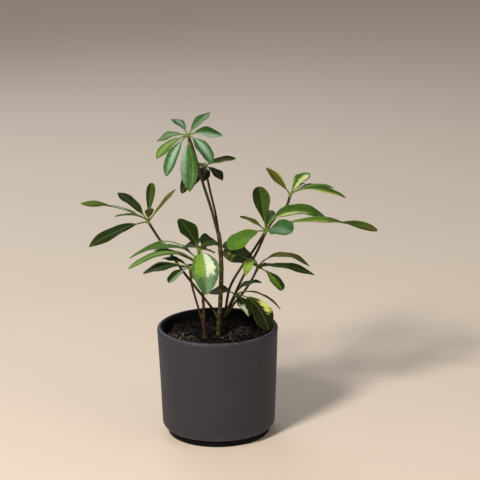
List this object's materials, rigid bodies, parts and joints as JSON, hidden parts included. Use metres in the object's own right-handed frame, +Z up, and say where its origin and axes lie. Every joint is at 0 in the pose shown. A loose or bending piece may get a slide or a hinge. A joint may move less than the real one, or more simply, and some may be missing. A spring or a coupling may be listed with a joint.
{
  "type": "potted umbrella plant",
  "caption": "Young umbrella plant with palmate leaves on thin stalks, growing in soil in a round matt ceramic pot that stands on a short flat foot.",
  "frame": {"origin": "centre of the pot's flat foot, on the surface that it stands on", "axes": "+Z up along the pot's axis, +X to the plant's right and +Y to its back as it is seen from its front"},
  "size_m": [0.315, 0.13, 0.3493],
  "materials": {
    "pot": "matte",
    "soil": "matte",
    "stem": "matte",
    "leaf": "satin"
  },
  "bodies": {
    "root": {"pot": "pot", "soil": "soil", "stem_main": "stem", "stem_left": "stem", "stem_right": "stem", "leaf_top": "leaf", "leaf_top_back": "leaf", "leaf_left": "leaf", "leaf_mid_left": "leaf", "leaf_inner_left": "leaf", "leaf_lower_left": "leaf", "leaf_right": "leaf", "leaf_upper_right": "leaf", "leaf_mid_right": "leaf", "leaf_lower_right": "leaf"}
  },
  "joints": []
}
